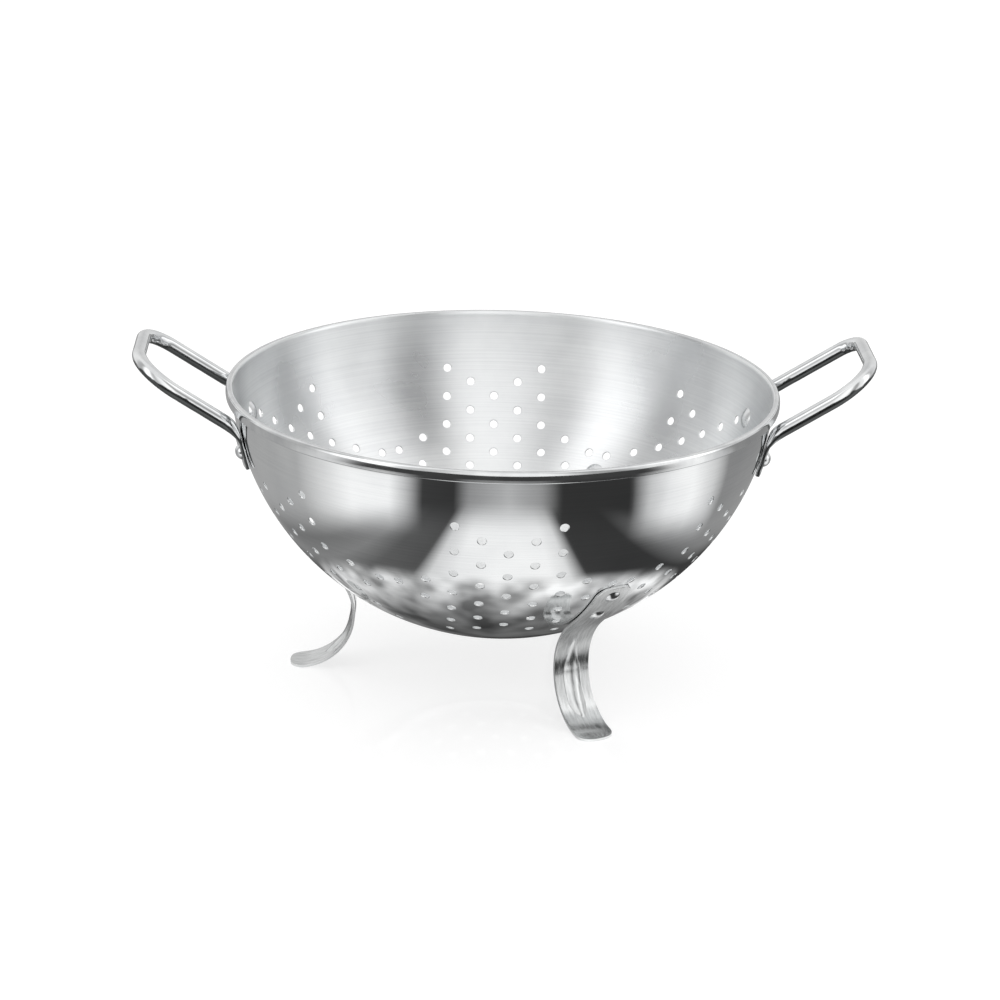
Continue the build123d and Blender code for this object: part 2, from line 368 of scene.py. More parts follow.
def head(bm, diameter, height, seat, side):
    """A domed head on its seat along Z: side 1 above, -1 below. Gives the vertex at the shank."""
    ball = ((diameter / 2) ** 2 + height**2) / (2 * height)
    middle = bm.verts.new((0, 0, seat + side * height))
    centre = (0, 0, seat + side * (height - ball))
    half = atan2(diameter / 2, ball - height)
    rim = spin_arc(bm, middle, centre, (0, side, 0), half, HEAD_STEPS)
    neck = bm.verts.new((SHANK_RADIUS, 0, seat))
    bm.edges.new((rim, neck))
    return neck


def rivet(bm, aim, grip, outer_head):
    """One rivet through the wall at an aim from the crown, holding a piece as thick as its grip."""
    part = bmesh.new()
    head_sag = (INNER_HEAD[0] / 2) ** 2 / (2 * crown_radius)
    inner = head(part, *INNER_HEAD, -head_sag - SEAT_GAP, -1)
    outer = head(part, *outer_head, WALL + grip + 2 * SEAT_GAP, 1)
    part.edges.new((inner, outer))
    spin_whole_turn(part, ROUND_STEPS)
    place = placing(crown + aim * (crown_radius - WALL), level(0) + level(90), aim)
    bmesh.ops.transform(part, matrix=place, verts=part.verts)
    mesh = bpy.data.meshes.new("rivet")
    part.to_mesh(mesh)
    part.free()
    bm.from_mesh(mesh)
    bpy.data.meshes.remove(mesh)


# %% [markdown]
# The handles' rivets sit where the tabs meet the wall, and the legs' rivets one above the other on each
# leg. Their angles follow from the same few distances as in the part's source. The legs' heads are hammered
# lower than the handles', and on this colander the legs stand a little off their even thirds.

# %% Rivet places
ARM_SPACING = 77.0 * MM
HANDLE_RIVET_DROP = 26.8 * MM
NECK_BEND_ABOVE_RIVET = 14.0 * MM
LOWER_RIVET_ANGLE = 42.6
LEG_RIVET_SPACING = 21.8 * MM
LEG_AZIMUTHS = {"front_right_leg": 30.0, "rear_right_leg": 150.0, "left_leg": 270.0}
LEG_LEAN = -0.8

handle_fall = asin((crown.z - rim_height + HANDLE_RIVET_DROP) / crown_radius)
tab_radius = crown_radius + SEAT_GAP + TAB_THICKNESS / 2
neck_reach = tab_radius * cos(handle_fall) + NECK_BEND_ABOVE_RIVET * sin(handle_fall)
handle_turn = degrees(asin(ARM_SPACING / 2 / neck_reach))
upper_rivet_angle = LOWER_RIVET_ANGLE + degrees(LEG_RIVET_SPACING / crown_radius)

bm = bmesh.new()
for side_azimuth in (90, 270):
    for turn in (-handle_turn, handle_turn):
        rivet(bm, outward(side_azimuth + turn, degrees(handle_fall)), TAB_THICKNESS, OUTER_HEAD)
handle_rivets = object_from(bm, "handle_rivet_heads")
bm = bmesh.new()
for azimuth in LEG_AZIMUTHS.values():
    for angle in (LOWER_RIVET_ANGLE, upper_rivet_angle):
        rivet(bm, outward(azimuth + LEG_LEAN, 90 - angle), LEG_THICKNESS, LEG_HEAD)
leg_rivets = object_from(bm, "leg_rivet_heads")
print("handle rivets at", round(handle_turn, 2), "leg rivets at", LOWER_RIVET_ANGLE, upper_rivet_angle)

# %% [markdown]
# ## The handles
#
# Each handle is one tube, bent to a loop, with its ends hammered flat and bent down onto the wall. The two
# loops were bent one at a time, so they differ by a few millimetres: each has a rounder corner at the front
# than at the rear, its own rise, and a bar that sits a little to the front. Those differences are kept as
# two short lists of sizes, and one function makes either loop.

# %% Handle sizes
TUBE_RADIUS = 4.0 * MM
TUBE_WALL = 1.2 * MM
RIGHT_LOOP = dict(
    side=1, rise=33.0, short=0.0, rear_corner=13.0 * MM, front_corner=30.0 * MM, shift=4.0 * MM
)
LEFT_LOOP = dict(
    side=-1, rise=33.7, short=1.8 * MM, rear_corner=18.0 * MM, front_corner=29.0 * MM, shift=6.5 * MM
)
SHIFT_FROM = 165.0 * MM
TAB_WIDTH = 11.4 * MM
TAB_BELOW_RIVET = 9.5 * MM
TAB_ABOVE_RIVET = 6.5 * MM

bar_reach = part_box("right_handle")[1][0] - TUBE_RADIUS
print("bar's middle line at", bar_reach)

# %% [markdown]
# A ring of vertices is extruded from station to station, and at each station the ring is laid out afresh:
# round along the loop, and flatter and wider towards the tab. A curve with a bevel could only stay round.

# %% The tube's section
TUBE_SIDES = 36
FLAT_EACH_SIDE = 25  # degrees of the ring that the hammer spreads, each side of its top and bottom
LEAST_FLAT = 0.02


def ring_outline(flatness, inset=0.0):
    """Points round the tube's section: flatness 0 is round, 1 is the hammered tab."""
    thick = TUBE_RADIUS + (TAB_THICKNESS / 2 - TUBE_RADIUS) * flatness - inset
    straight = (TAB_WIDTH - TAB_THICKNESS) / 2 * flatness
    flat_from = max(cos(radians(90 - FLAT_EACH_SIDE * flatness)), LEAST_FLAT)
    points = []
    for number in range(TUBE_SIDES):
        angle = 2 * pi * number / TUBE_SIDES
        spread = max(-1, min(1, cos(angle) / flat_from))
        points.append((thick * cos(angle) + straight * spread, thick * sin(angle)))
    return points


# %% Handle stations
CORNER_STEPS = 20
NECK_STEPS = 12
BAR_SHARES = (0, 0.25, 0.5, 0.75)


def handle_stations(corner_radius, rise, reach):
    """Places along half a handle, from the bar's middle to the tab's end.

    Each is an origin, the aim of the ring's width, a heading, the flatness, and how hard the tube bends.
    """
    azimuth = 90 + handle_turn
    aim = outward(azimuth, degrees(handle_fall))
    rivet_seat = crown + aim * tab_radius
    up_tab = aim.cross(level(azimuth))
    up_arm = Vector((cos(radians(rise)), 0, sin(radians(rise))))
    neck_corner = rivet_seat + up_tab * NECK_BEND_ABOVE_RIVET
    neck_half = NECK_BEND_ABOVE_RIVET - TAB_ABOVE_RIVET
    tab_top = rivet_seat + up_tab * TAB_ABOVE_RIVET
    arm_start = neck_corner + up_arm * neck_half
    arm_end = arm_start + up_arm * ((reach - arm_start.x) / up_arm.x)
    back = Vector((0, 1, 0))
    corner_centre = arm_end - up_arm * corner_radius - back * corner_radius
    for share in BAR_SHARES:
        yield Vector((arm_end.x, corner_centre.y * share, arm_end.z)), -up_arm, back, 0.0, 0.0
    for step in range(CORNER_STEPS + 1):
        angle = step / CORNER_STEPS * pi / 2
        out = up_arm * cos(angle) + back * sin(angle)
        heading = back * cos(angle) - up_arm * sin(angle)
        yield corner_centre + out * corner_radius, -out, heading, 0.0, sin(2 * angle)
    for step in range(NECK_STEPS + 1):
        along = step / NECK_STEPS
        before = arm_start + (neck_corner - arm_start) * along
        after = neck_corner + (tab_top - neck_corner) * along
        width = back * (along - 1) - level(azimuth) * along
        flatness = along * along * (3 - 2 * along)
        yield before + (after - before) * along, width, after - before, flatness, 0.0
    yield rivet_seat - up_tab * TAB_BELOW_RIVET, -level(azimuth), -up_tab, 1.0, 0.0


# %% Sweep the ring
def lay_ring(ring, origin, width_aim, heading, outline, dent=0.0):
    """Moves a ring onto a station's section. A dent crumples the side towards the loop's inside."""
    place = placing(origin, width_aim, heading)
    for vertex, (x, y) in zip(ring, outline):
        inner_side = max(0, x / TUBE_RADIUS) ** 2
        vertex.co = place @ Vector((x - dent * inner_side, y, 0))


def extruded(bm, ring):
    """A new ring of vertices joined to this one by faces, in the same order."""
    edges = [bm.edges.get((a, b)) for a, b in zip(ring, ring[1:] + ring[:1])]
    made = bmesh.ops.extrude_edge_only(bm, edges=edges)["geom"]
    fresh = [item for item in made if isinstance(item, bmesh.types.BMVert)]
    by_place = {tuple(round(c, 9) for c in vertex.co): vertex for vertex in fresh}
    return [by_place[tuple(round(c, 9) for c in vertex.co)] for vertex in ring]


# %% [markdown]
# The tube crumples a little inside its corners, where the bend pressed it together, and a wave along the
# corner gives those wrinkles. Each vertex also keeps a number that tells how far it faces down, and less so
# on the bar. The metal reads it later as the mask of painted shade: a dark band in the colour of the arms'
# undersides, in place of the dark reflection that they show there.

# %% Bend the handles
LOWER_SIDE = "lower_side"
WRINKLE_DEPTH = 0.35 * MM
WRINKLES = 3.5
# The bar and its corners get less of the painted shade on the underside.
BAR_LESS_SHADED = 0.6
LESS_SHADED_PAST_CORNER = 1.2


def half_handle(bm, lower_side, corner_radius, rise, reach):
    """The rear half of the right handle, open at the bar's middle and slit at the tab's end."""
    ring = bmesh.ops.create_circle(bm, segments=TUBE_SIDES, radius=TUBE_RADIUS)["verts"]
    stations = handle_stations(corner_radius, rise, reach)
    for number, (origin, width_aim, heading, flatness, bend) in enumerate(stations):
        if number:
            ring = extruded(bm, ring)
        round_corner = (number - len(BAR_SHARES)) / CORNER_STEPS
        wrinkle = WRINKLE_DEPTH * bend * sin(round_corner * 2 * pi * WRINKLES)
        lay_ring(ring, origin, width_aim, heading, ring_outline(flatness), wrinkle)
        less_shaded = BAR_LESS_SHADED * max(0, min(1, LESS_SHADED_PAST_CORNER - round_corner))
        # The mask of the painted shade: higher where the tube faces down, lower on the bar.
        for place, vertex in enumerate(ring):
            vertex[lower_side] = -sin(2 * pi * place / TUBE_SIDES) - less_shaded
    inside = ring_outline(1.0, TUBE_WALL)
    for depth in (0, TAB_BELOW_RIVET / 2):
        ring = extruded(bm, ring)
        lay_ring(ring, origin - heading * depth, width_aim, heading, inside)
    bm.faces.new(ring)


def handle(name, side, rise, short, rear_corner, front_corner, shift):
    """A whole handle on the right (side 1) or the left (-1): a front half and a rear half, welded."""
    bm = bmesh.new()
    lower_side = bm.verts.layers.float.new(LOWER_SIDE)
    reach = bar_reach - short
    half_handle(bm, lower_side, front_corner, rise, reach)
    bmesh.ops.scale(bm, verts=bm.verts, vec=(1, -1, 1))
    half_handle(bm, lower_side, rear_corner, rise, reach)
    bmesh.ops.remove_doubles(bm, verts=bm.verts, dist=WELD)
    bmesh.ops.scale(bm, verts=bm.verts, vec=(side, 1, 1))
    bmesh.ops.recalc_face_normals(bm, faces=bm.faces)
    for vertex in bm.verts:
        vertex.co.y -= shift * max(0, (abs(vertex.co.x) - SHIFT_FROM) / (reach - SHIFT_FROM))
    return object_from(bm, name)


right_handle = handle("right_loop", **RIGHT_LOOP)
left_handle = handle("left_loop", **LEFT_LOOP)
print("loop faces", len(right_handle.data.polygons), len(left_handle.data.polygons))

# %% [markdown]
# ## The legs
#
# A leg is a strip of sheet with one pressed rib, curved from the wall down to a flat foot. A flat grid is
# laid along the leg's line: its length follows the curve, its width narrows at the rounded ends, and the
# rib lifts its middle. Solidify makes the groove behind the rib by itself, as the press does.

# %% Leg sizes
LEG_WIDTH = 22.6 * MM
LEG_BEND_RADIUS = 34.4 * MM
LEG_RUN = 12.0 * MM
LEG_DEPARTURE = radians(41.6)
FOOT_FLAT = 3.5 * MM
FOOT_END_RADIUS = 9.0 * MM
TAB_END_RADIUS = 8.0 * MM
TAB_BEYOND_RIVET = 9.0 * MM

leg_radius = crown_radius + SEAT_GAP + LEG_THICKNESS / 2
tab_arc = radians(upper_rivet_angle) + TAB_BEYOND_RIVET / crown_radius - LEG_DEPARTURE
tab_length = tab_arc * leg_radius
bend_length = (pi - LEG_DEPARTURE) * LEG_BEND_RADIUS
leg_length = tab_length + LEG_RUN + bend_length + FOOT_FLAT
print("strip length", leg_length)


# %% The leg's line
def leg_line(distance):
    """The leg's middle line at a distance from the tab's end.

    Gives the reach, the height, the direction in which the rib rises, and the angle round the bend.
    """
    if distance < tab_length:
        angle = LEG_DEPARTURE + tab_arc - distance / leg_radius
        return leg_radius * sin(angle), crown.z - leg_radius * cos(angle), angle - pi / 2, None
    run_x = leg_radius * sin(LEG_DEPARTURE)
    run_z = crown.z - leg_radius * cos(LEG_DEPARTURE)
    distance -= tab_length
    facing = LEG_DEPARTURE - pi / 2
    if distance < LEG_RUN:
        return run_x - distance * cos(LEG_DEPARTURE), run_z - distance * sin(LEG_DEPARTURE), facing, None
    distance -= LEG_RUN
    end_x = run_x - LEG_RUN * cos(LEG_DEPARTURE)
    end_z = run_z - LEG_RUN * sin(LEG_DEPARTURE)
    centre_x = end_x + LEG_BEND_RADIUS * sin(LEG_DEPARTURE)
    centre_z = end_z - LEG_BEND_RADIUS * cos(LEG_DEPARTURE)
    if distance < bend_length:
        angle = pi / 2 + LEG_DEPARTURE + distance / LEG_BEND_RADIUS
        x = centre_x + LEG_BEND_RADIUS * cos(angle)
        return x, centre_z + LEG_BEND_RADIUS * sin(angle), angle - pi, angle
    return centre_x + distance - bend_length, centre_z - LEG_BEND_RADIUS, pi / 2, None


# %% The pressed rib
RIB_HEIGHT = 1.9 * MM
RIB_WIDTH = 10.4 * MM
RIB_TOP = radians(148)
RIB_FOOT = radians(238)
RIB_GROWTH = 2.2
RIB_BLUNTNESS = 6
RIB_ROUNDNESS = 1.15


def rib_rise(angle, across):
    """How far the pressed rib lifts the sheet at an angle round the bend and a distance across the strip.

    The rib grows slowly from a point below the wall and ends bluntly above the foot.
    """
    if angle is None or not RIB_TOP < angle < RIB_FOOT:
        return 0.0
    share = (angle - RIB_TOP) / (RIB_FOOT - RIB_TOP)
    strength = min(1, RIB_GROWTH * share) * min(1, RIB_BLUNTNESS * (1 - share)) ** 0.5
    off = min(1, abs(across) / (RIB_WIDTH / 2 * strength))
    return RIB_HEIGHT * strength * (1 - off**2) ** RIB_ROUNDNESS


# %% [markdown]
# Each leg leans a little sideways towards its foot, as on the real one. The strip was cut from sheet, so
# its edges are rougher and brighter than its faces. Solidify puts them in a second slot for that, and a
# small bevel breaks their corners.

# %% Shape a leg
LEG_LENGTH_STEPS = 150
LEG_WIDTH_STEPS = 36
FOOT_SWING = 2.5
STRIP_MAP = "strip"
STRIP_FACES, CUT_EDGES = 0, 1
EDGE_ROUND = 0.35 * MM
EDGE_STEPS = 3
EDGE_ANGLE = radians(60)


def leg(name, azimuth):
    """One leg at an azimuth, as a ribbed sheet with its edges slightly rounded."""
    bm = bmesh.new()
    bmesh.ops.create_grid(bm, x_segments=LEG_LENGTH_STEPS, y_segments=LEG_WIDTH_STEPS, size=1)
    strip_map = bm.loops.layers.uv.new(STRIP_MAP)
    for face in bm.faces:
        for loop in face.loops:
            loop[strip_map].uv = (loop.vert.co.x, loop.vert.co.y)
    for vertex in bm.verts:
        distance = (vertex.co.x + 1) / 2 * leg_length
        at_foot = distance > leg_length / 2
        corner = FOOT_END_RADIUS if at_foot else TAB_END_RADIUS
        into_corner = max(0, corner - (leg_length - distance if at_foot else distance))
        half_width = LEG_WIDTH / 2 - corner + sqrt(max(0, corner**2 - into_corner**2))
        across = vertex.co.y * half_width
        x, z, facing, bend = leg_line(distance)
        rise = rib_rise(bend, across)
        x += rise * cos(facing)
        z += rise * sin(facing)
        below_tab = max(0, (distance - tab_length) / (leg_length - tab_length))
        swing = azimuth + LEG_LEAN * (1 + FOOT_SWING * below_tab)
        vertex.co = outward(swing) * x + UP * z + level(swing) * across
    bmesh.ops.recalc_face_normals(bm, faces=bm.faces)
    strip = object_from(bm, name)
    for _ in (STRIP_FACES, CUT_EDGES):
        strip.data.materials.append(None)
    solid = strip.modifiers.new("sheet", "SOLIDIFY")
    solid.thickness = LEG_THICKNESS
    solid.offset = 0
    solid.material_offset_rim = CUT_EDGES
    edge = strip.modifiers.new("edge", "BEVEL")
    edge.width = EDGE_ROUND
    edge.segments = EDGE_STEPS
    edge.limit_method = "ANGLE"
    edge.angle_limit = EDGE_ANGLE
    return with_modifiers_applied(strip)


legs = {name: leg(name + "_strip", azimuth) for name, azimuth in LEG_AZIMUTHS.items()}

# %% [markdown]
# ## Metals
#
# All the metal is bare stainless steel. What differs is how it was worked: the bowl was spun against a pad,
# so fine lines run round it, the strip was brushed along its length, and the tube and bead were buffed.
# Small helpers keep the node code short.


# %% Node helpers
def node(tree, kind, inputs=None, **options):
    """Adds a node, sets its options, and links or sets its inputs."""
    made = tree.nodes.new(kind)
    for option, value in options.items():
        setattr(made, option, value)
    for socket, value in (inputs or {}).items():
        if isinstance(value, bpy.types.NodeSocket):
            tree.links.new(value, made.inputs[socket])
        else:
            made.inputs[socket].default_value = value
    return made


def sum_of(tree, operation, *values):
    """A maths node's result."""
    return node(tree, "ShaderNodeMath", dict(enumerate(values)), operation=operation).outputs[0]


def vector_of(tree, operation, *values):
    """A vector maths node's result: a vector, or a number for LENGTH."""
    made = node(tree, "ShaderNodeVectorMath", dict(enumerate(values)), operation=operation)
    return made.outputs["Value" if operation == "LENGTH" else "Vector"]


def noise(tree, place, scale, detail):
    """Soft random values at a place, finer with a larger scale and rougher with more detail."""
    return node(tree, "ShaderNodeTexNoise", {"Vector": place, "Scale": scale, "Detail": detail}).outputs[0]


def in_range(tree, measure, from_low, from_high, to_low, to_high):
    """Moves a measure from one range of values to another and holds it at the ends."""
    limits = {0: measure, 1: from_low, 2: from_high, 3: to_low, 4: to_high}
    return node(tree, "ShaderNodeMapRange", limits).outputs[0]


def grey_ramp(tree, measure, stops):
    """A colour ramp of (position, grey) stops, read at a measure from 0 to 1."""
    ramp = node(tree, "ShaderNodeValToRGB", {0: measure})
    elements = ramp.color_ramp.elements
    while len(elements) < len(stops):
        elements.new(0.5)
    for element, (position, grey) in zip(elements, stops):
        element.position = position
        element.color = (grey, grey, grey, 1)
    return ramp.outputs[0]


# %% Group and material helpers
def new_group(name, inputs, outputs):
    """An empty node group with the given vector inputs and value outputs."""
    group = bpy.data.node_groups.new(name, "ShaderNodeTree")
    for socket in inputs:
        group.interface.new_socket(socket, in_out="INPUT", socket_type="NodeSocketVector")
    for socket in outputs:
        group.interface.new_socket(socket, in_out="OUTPUT", socket_type="NodeSocketFloat")
    return group, node(group, "NodeGroupInput").outputs[0], node(group, "NodeGroupOutput")


def put_out(group, result, *values):
    """Links values to a group's outputs, in order."""
    for socket, value in zip(result.inputs, values):
        group.links.new(value, socket)
    print("group", group.name)


def shown_by(tree, group, place):
    """The outputs of a group placed in a material or world."""
    return node(tree, "ShaderNodeGroup", {0: place}, node_tree=group).outputs


def emptied(thing):
    """Switches a material or a world to nodes and gives its empty tree."""
    thing.use_nodes = True
    thing.node_tree.nodes.clear()
    return thing.node_tree


# %% [markdown]
# The spinning lines follow the wall's own arc: the angle from the crown's centre counts as the distance
# along the wall, so the lines stay equally fine from the rim to the bottom. A second, broad noise gives
# patches where the polish is duller.

# %% Spun lines group
SPUN_ROUND = 1.2
SPUN_DOWN = 160.0

spun_lines, place, result = new_group("spun_lines", ["Place"], ["Lines", "Patches"])
from_crown = vector_of(spun_lines, "NORMALIZE", vector_of(spun_lines, "SUBTRACT", place, crown))
parts = node(spun_lines, "ShaderNodeSeparateXYZ", {0: from_crown}).outputs
stretched = {
    0: sum_of(spun_lines, "MULTIPLY", parts[0], SPUN_ROUND),
    1: sum_of(spun_lines, "MULTIPLY", parts[1], SPUN_ROUND),
    2: sum_of(spun_lines, "MULTIPLY", sum_of(spun_lines, "ARCCOSINE", parts[2]), SPUN_DOWN),
}
down_wall = node(spun_lines, "ShaderNodeCombineXYZ", stretched).outputs[0]
lines = noise(spun_lines, down_wall, scale=1.0, detail=3.0)
put_out(spun_lines, result, lines, noise(spun_lines, place, scale=14.0, detail=4.0))

# %% [markdown]
# The strip's brushing runs along its length, which its own UV map gives, and the tube shows only broad
# unevenness from bending and buffing. One group for each.

# %% Brushed and buffed groups
BRUSHING = (9, 90, 1)

brushed_lines, place, result = new_group("brushed_lines", ["Strip"], ["Lines", "Patches"])
long_way = vector_of(brushed_lines, "MULTIPLY", place, BRUSHING)
lines = noise(brushed_lines, long_way, scale=1.0, detail=4.0)
put_out(brushed_lines, result, lines, noise(brushed_lines, place, scale=7.0, detail=3.0))

buffed, place, result = new_group("buffed_unevenness", ["Place"], ["Waves", "Patches"])
waves = noise(buffed, place, scale=160.0, detail=1.0)
put_out(buffed, result, waves, noise(buffed, place, scale=45.0, detail=3.0))

# %% [markdown]
# The tube's underside gets painted shade: a dark grey in its colour stands for the dark reflection that the
# arms show there, and that side is also a little rougher. The handles carry that side as an attribute, and
# a ramp with a ragged edge turns it into a mask, so the painted band stays in its place in every view.

# %% The painted shade on the underside
# Painted shade: a dark grey in the tube's colour on its underside, in place of the dark band that it
# reflects there.
PAINTED_SHADE_GREY = (0.1, 0.105, 0.105, 1)
PAINTED_SHADE_STOPS = [(0.38, 0.0), (0.46, 1.0), (0.86, 1.0), (0.92, 0.0)]
SIDE_SCALE, SIDE_START = 0.5, 0.3
RAGGEDNESS = 0.4
SHADED_SIDE_ROUGHER = 0.2


def with_painted_underside_shade(tree, attribute, lines, colour, roughness):
    """The colour and roughness of a buffed metal whose lower side gets painted shade, a dark grey band."""
    side = node(tree, "ShaderNodeAttribute", attribute_name=attribute).outputs["Fac"]
    turned = sum_of(tree, "MULTIPLY_ADD", side, SIDE_SCALE, SIDE_START)
    ragged = sum_of(tree, "MULTIPLY_ADD", lines, RAGGEDNESS, turned)
    mask = grey_ramp(tree, ragged, PAINTED_SHADE_STOPS)
    painted_dark = node(tree, "ShaderNodeMix", {0: mask, 6: colour, 7: PAINTED_SHADE_GREY}, data_type="RGBA").outputs[2]
    return painted_dark, sum_of(tree, "MULTIPLY_ADD", mask, SHADED_SIDE_ROUGHER, roughness)


# %% [markdown]
# Every finish is the same metal with its own lines, greys and roughness. The spun faces also draw out
# their reflections across the lines, as a brushed surface does, which the shader's anisotropy gives.

# %% Metal builder
NOISE_LOW, NOISE_HIGH = 0.35, 0.65
LINES_IN_TONE = 0.3
WORN_AT, CLEAN_AT = 0.45, 0.85
QUARTER_TURN = 0.25


def steel(name, effect, dark, light, smooth, rough, relief, stretch=0.0, painted_shade_side=""):
    """Bare steel of one finish.

    effect: the group whose lines and patches it shows; dark and light: greys of the worn and clean metal;
    smooth and rough: roughness of clean and dull patches; relief: depth of the lines in metres;
    stretch: how much the lines draw out the reflections across themselves; painted_shade_side: the
    attribute that marks the side where a dark band of painted shade goes into the colour.
    """
    material = bpy.data.materials.new(name)
    tree = emptied(material)
    if effect == brushed_lines:
        place = node(tree, "ShaderNodeUVMap", uv_map=STRIP_MAP).outputs[0]
    else:
        place = node(tree, "ShaderNodeTexCoord").outputs["Object"]
    lines, patches = shown_by(tree, effect, place)
    roughness = in_range(tree, patches, NOISE_LOW, NOISE_HIGH, smooth, rough)
    tone = sum_of(tree, "MULTIPLY_ADD", lines, LINES_IN_TONE, patches)
    ramp = node(tree, "ShaderNodeValToRGB", {0: tone})
    for element, position, grey in zip(ramp.color_ramp.elements, (WORN_AT, CLEAN_AT), (dark, light)):
        element.position = position
        element.color = (*grey, 1)
    colour = ramp.outputs[0]
    # Painted shade: the marked side turns dark grey in the colour.
    if painted_shade_side:
        colour, roughness = with_painted_underside_shade(tree, painted_shade_side, lines, colour, roughness)
    bump = node(tree, "ShaderNodeBump", {"Height": lines, "Strength": 1.0, "Distance": relief}).outputs[0]
    sockets = {"Base Color": colour, "Roughness": roughness, "Normal": bump, "Metallic": 1.0}
    if stretch:
        round_axis = node(tree, "ShaderNodeTangent", direction_type="RADIAL", axis="Z").outputs[0]
        sockets |= {"Tangent": round_axis, "Anisotropic": stretch, "Anisotropic Rotation": QUARTER_TURN}
    shader = node(tree, "ShaderNodeBsdfPrincipled", sockets)
    node(tree, "ShaderNodeOutputMaterial", {"Surface": shader.outputs[0]})
    print("finish", name)
    return material


# %% [markdown]
# The outside is nearly a mirror. The inside is satin and paler, the strip darker and brushed, and its cut
# edges are pale and matt, because nothing polished them.

# %% Finishes
CLEAN, WORN = (0.83, 0.84, 0.84), (0.66, 0.67, 0.68)
SATIN_CLEAN, SATIN_WORN = (0.91, 0.92, 0.92), (0.67, 0.68, 0.69)
STRIP_CLEAN, STRIP_WORN = (0.78, 0.79, 0.79), (0.55, 0.56, 0.56)
CUT_CLEAN, CUT_WORN = (0.92, 0.93, 0.93), (0.8, 0.81, 0.81)

outside_steel = steel(
    "outside_steel", spun_lines, WORN, CLEAN, smooth=0.05, rough=0.09, relief=0.003 * MM, stretch=0.4
)
inside_steel = steel(
    "inside_steel",
    spun_lines,
    SATIN_WORN,
    SATIN_CLEAN,
    smooth=0.26,
    rough=0.36,
    relief=0.02 * MM,
    stretch=0.85,
)
bead_steel = steel("bead_steel", buffed, WORN, CLEAN, smooth=0.08, rough=0.14, relief=0.01 * MM)
# The tube's colour carries painted shade on its underside.
tube_steel = steel(
    "tube_steel", buffed, WORN, CLEAN, smooth=0.06, rough=0.12, relief=0.05 * MM, painted_shade_side=LOWER_SIDE
)
strip_steel = steel(
    "strip_steel", brushed_lines, STRIP_WORN, STRIP_CLEAN, smooth=0.15, rough=0.27, relief=0.008 * MM
)
cut_steel = steel("cut_steel", buffed, CUT_WORN, CUT_CLEAN, smooth=0.4, rough=0.55, relief=0.02 * MM)
rivet_steel = steel("rivet_steel", buffed, WORN, CLEAN, smooth=0.1, rough=0.2, relief=0.02 * MM)

# %% [markdown]
# The bowl is one mesh with three finishes, and each face takes its own by where it lies. The satin reaches
# up over the inner half of the bead, as far as the spinner's pad went. The other pieces have one each,
# apart from the legs with their cut edges.

# %% Put the metals on
OUTSIDE, INSIDE, BEAD = 0, 1, 2
BEAD_BELOW_RIM = 3.2 * MM
FACES_IN = 0.4

bowl.data.materials.clear()
for material in (outside_steel, inside_steel, bead_steel):
    bowl.data.materials.append(material)
for polygon in bowl.data.polygons:
    aim = polygon.center - crown
    on_bead = polygon.center.z > rim_height - BEAD_BELOW_RIM and aim.length > crown_radius - 2 * WALL
    faces_in = polygon.normal.xy.dot(aim.xy) < -FACES_IN * aim.xy.length
    if on_bead and not faces_in:
        polygon.material_index = BEAD
    elif on_bead or aim.length < crown_radius - WALL / 2:
        polygon.material_index = INSIDE
    else:
        polygon.material_index = OUTSIDE
for thing in (right_handle, left_handle):
    thing.data.materials.append(tube_steel)
for thing in legs.values():
    thing.data.materials[STRIP_FACES] = strip_steel
    thing.data.materials[CUT_EDGES] = cut_steel
for thing in (handle_rivets, leg_rivets):
    thing.data.materials.append(rivet_steel)

# %% [markdown]
# Now every piece is complete, and each one takes the place of its solid.

declare(bowl, "bowl_steel", "bowl")
declare(right_handle, "handle_steel", "right_handle")
declare(left_handle, "handle_steel", "left_handle")
for leg_node, thing in legs.items():
    declare(thing, "leg_steel", leg_node)
declare(handle_rivets, "rivet_steel", "handle_rivets")
declare(leg_rivets, "rivet_steel", "leg_rivets")

# %% [markdown]
# ## The room
#
# Bare metal shows only what stands round it. A white room with dark gaps between its light panels gives
# this steel its bright and dark bands. Lamps and cards could be built for that, but each would cast its own
# light and shadow, so one group paints the panels instead. First come the walls, as greys by azimuth in
# degrees from the front, positive towards +X.

# %% Panels of the walls
SKY_STOPS = [
    (-180, 0.7), (-135, 0.95), (-118, 0.9), (-104, 0.6), (-90, 0.52), (-83, 0.68),
    (-77, 1.15), (-69, 1.55), (-58, 1.65), (-50, 1.42), (-43, 0.9), (-36, 0.68),
    (-28, 0.68), (-20, 0.95), (-9, 1.15), (8, 1.25), (19, 1.2), (26, 0.9),
    (33, 0.5), (44, 0.38), (51, 0.6), (58, 0.98), (70, 1.05), (77, 1.35),
    (90, 1.65), (97, 1.0), (104, 0.62), (116, 0.8), (135, 0.95), (180, 0.7),
]
ZENITH_LIGHT = 1.0
ZENITH_FROM, ZENITH_TO = 0.8, 0.97
print("wall panels", len(SKY_STOPS))

# %% [markdown]
# The floor is painted by place, because the lower half of the bowl mirrors it from close by. Under the
# bowl it lies in shade. Next to that, a light strip runs towards the camera between two dark ones. Farther
# out the greys go by azimuth again, and in front they are dark from half a metre to a few metres out.

